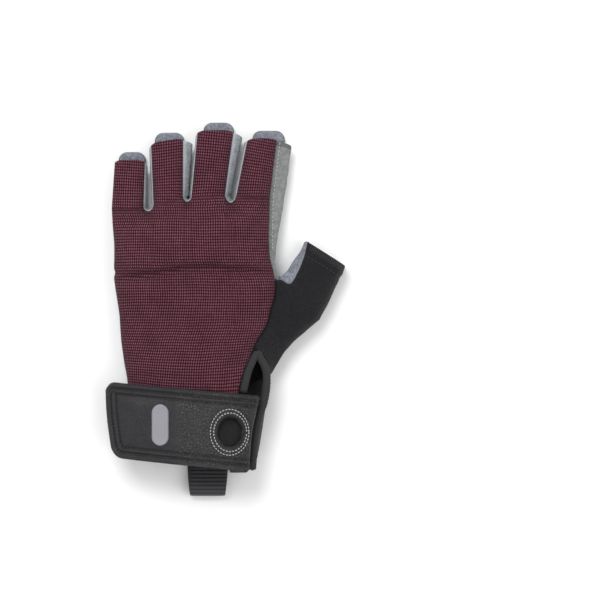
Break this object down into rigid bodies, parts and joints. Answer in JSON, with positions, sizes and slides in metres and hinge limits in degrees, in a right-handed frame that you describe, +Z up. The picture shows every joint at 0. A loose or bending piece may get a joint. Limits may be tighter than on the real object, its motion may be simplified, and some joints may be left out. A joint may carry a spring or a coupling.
{
  "type": "climbing glove",
  "caption": "Half-finger glove for the left hand, lying palm down: knit back, padded suede palm, open finger and thumb stalls, split cuff with a leather strap and a webbing pull loop.",
  "frame": {"origin": "middle of the glove's footprint, on the surface that it lies on palm down", "axes": "+Y from the cuff to the fingertips, +X to the thumb side, +Z up out of the back of the hand"},
  "size_m": [0.129, 0.202, 0.0292],
  "materials": {
    "knit": "ribbed waffle knit, matt",
    "suede": "brushed suede, matt",
    "black_cloth": "fine woven, matt",
    "elastic": "diagonal twill weave",
    "strap_leather": "pebbled, half gloss",
    "thread": "satin stitch",
    "binding": "rolled tape",
    "webbing": "ribbed tape"
  },
  "bodies": {
    "root": {"back_panel": "knit", "palm_panel": "suede", "fourchette_little_ring": "suede", "fourchette_ring_middle": "suede", "fourchette_middle_index": "suede", "index_side_panel": "suede", "thumb_back": "black_cloth", "tab_little": "suede", "tab_ring": "suede", "tab_middle": "suede", "tab_index": "suede", "palm_patch": "suede", "cuff_base": "black_cloth", "cuff_elastic": "elastic", "closure_strap": "strap_leather", "strap_badge": "thread", "slit_binding": "binding", "pull_loop": "webbing", "hang_loop_little": "webbing", "hang_loop_thumb": "webbing"}
  },
  "joints": []
}
